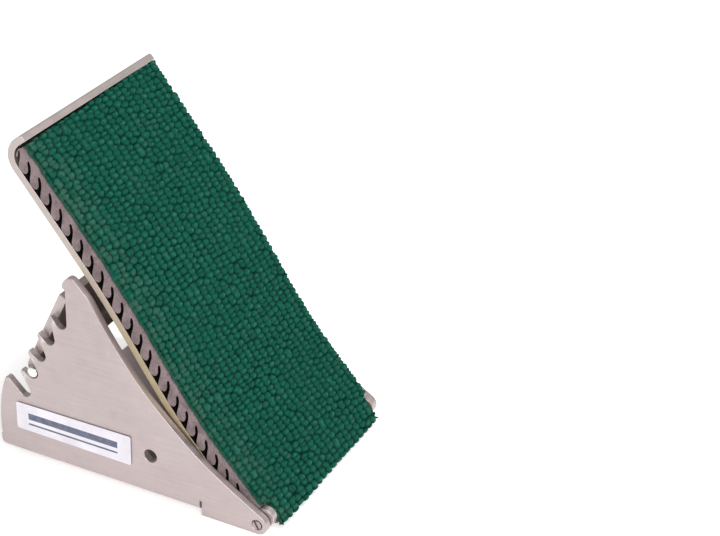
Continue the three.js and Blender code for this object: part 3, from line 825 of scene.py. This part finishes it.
# ---- prop, its rod and its pivot ----
def make_prop():
    def on_prop(t, n):
        return polar(n, PROP_LEAN - 90, polar(t, PROP_LEAN, ROD))

    face, r = PROP_EYE_R - PROP_T, 0.8
    eye_end = math.degrees(math.asin(face / PROP_EYE_R))
    panel = [*arc(ROD, PROP_EYE_R, PROP_LEAN - eye_end, PROP_LEAN + 270, 48),
             *arc(on_prop(PROP_LEN - r, PROP_EYE_R - r), r, PROP_LEAN - 90, PROP_LEAN, 4),
             *arc(on_prop(PROP_LEN - r, face + r), r, PROP_LEAN, PROP_LEAN + 90, 4)]
    back = face + PROP_T / 2 + 1
    ear = [*arc(PIVOT, PIVOT_R, 72, 250, 28), on_prop(PROP_LEN - 15, back), on_prop(PROP_LEN - r, back)]
    prop = across("prop_panel_body", panel, -PROP_HALF, PROP_HALF, 0.5)
    combine(prop, add=[across("ear", ear, -EAR_HALF, EAR_HALF, 0.4)],
            cut=[bar("bore", ROD_R + 0.15, -80, 80, ROD), bar("bore", PIN_R + 0.08, -80, 80, PIVOT)])
    place(prop, "prop_panel", "prop", "satin_aluminium", PROP)
    rod = bar("cross_rod_bar", ROD_R, -CHEEK_OUT - 0.1, CHEEK_OUT + 0.1, ROD, 0.6)
    place(rod, "cross_rod", "prop", "zinc_plate", ZINC)


def make_pivot():
    seat = along_face(-PLATE_T - GAP, 134, PIVOT_UV[0] + 8)
    heel = along_face(-PLATE_T - GAP - 3, 134, PIVOT_UV[0] + 8)
    web = to_side([*seat[::-1], *arc(PIVOT_UV, PIVOT_R, 190, 350, 28)])
    ring_x = LUG_IN + LUG_W + GAP
    for side, s in (("left", -1), ("right", 1)):
        x = sorted((s * LUG_IN, s * (LUG_IN + LUG_W)))
        wide = sorted((s * LUG_IN, s * (LUG_IN + LUG_FLANGE)))
        lug = across(f"prop_lug_{side}_body", web, *x, 0.4)
        combine(lug, add=[across("flange", to_side([*seat[::-1], *heel]), *wide, 0.4)],
                cut=[bar("bore", PIN_R + 0.2, -80, 80, PIVOT)])
        place(lug, f"prop_lug_{side}", "footplate", "satin_aluminium", PROP)
        x = sorted((s * ring_x, s * (ring_x + 1.2)))
        ring = bar(f"pin_ring_{side}_clip", 5.2, *x, PIVOT, 0.25)
        combine(ring, cut=[bar("bore", PIN_R + 0.25, -80, 80, PIVOT)])
        place(ring, f"pin_ring_{side}", "footplate", "plain_steel", STEEL)
    pin = bar("pivot_pin_bar", PIN_R, -ring_x - 3.5, ring_x + 3.5, PIVOT, 0.5)
    place(pin, "pivot_pin", "footplate", "zinc_plate", ZINC)


# ---- camera, floor and light ----
def place_camera():
    at, forward = Vector(CAMERA_AT), Vector(CAMERA_AIM).normalized()
    level = forward.cross(Vector((0, 0, 1))).normalized()
    roll = math.radians(CAMERA_ROLL)
    right = level * math.cos(roll) + level.cross(forward) * math.sin(roll)
    up = right.cross(forward)
    camera = bpy.data.objects.new("camera", bpy.data.cameras.new("camera"))
    camera.data.lens, camera.data.sensor_width = CAMERA_LENS, 36.0
    camera.matrix_world = Matrix((
        (right.x, up.x, -forward.x, at.x), (right.y, up.y, -forward.y, at.y),
        (right.z, up.z, -forward.z, at.z), (0, 0, 0, 1)))
    bpy.context.scene.collection.objects.link(camera)
    bpy.context.scene.camera = camera


def make_floor():
    bm = bmesh.new()
    bmesh.ops.create_grid(bm, x_segments=8, y_segments=8, size=6.0)
    floor = new_object("studio_floor", bm)
    floor.location.z = CAD_BOX[0][2] - 0.0002
    f = Finish("studio_floor")
    tone = f.mix(f.ramp(f.noise(3, 2), 0.3, 0.7), (0.88, 0.88, 0.88, 1), (0.9, 0.9, 0.9, 1))
    floor.data.materials.append(f.surface(Base_Color=tone, Roughness=0.9, Specular_IOR_Level=0.1,
                                          Emission_Color=(1, 1, 1, 1), Emission_Strength=0.42))


def area(name, position, size, power):
    target = Vector((0, 0, 0.08))
    lamp = bpy.data.objects.new(name, bpy.data.lights.new(name, "AREA"))
    lamp.data.shape, lamp.data.size, lamp.data.energy = "DISK", size, power
    lamp.location = position
    lamp.rotation_euler = (target - Vector(position)).to_track_quat("-Z", "Y").to_euler()
    bpy.context.scene.collection.objects.link(lamp)


def light_studio():
    world = bpy.data.worlds.new("studio")
    bpy.context.scene.world = world
    world.use_nodes = True
    sky = world.node_tree.nodes["Background"]
    sky.inputs["Color"].default_value = (1.0, 0.995, 0.99, 1)
    sky.inputs["Strength"].default_value = 0.5
    area("key", (0.1, -0.55, 1.55), size=0.7, power=13)
    area("fill", (-1.25, -0.95, 1.0), size=1.0, power=16)
    bpy.context.scene.view_settings.view_transform = "Standard"


place_camera()
make_channel()
make_label()
make_hinge_screw("left", -1)
make_hinge_screw("right", 1)
for where, centre in STUDS.items():
    make_stud(where, centre)
make_foot_plate()
make_rubber_base()
make_rubber_face()
make_prop()
make_pivot()
make_floor()
light_studio()
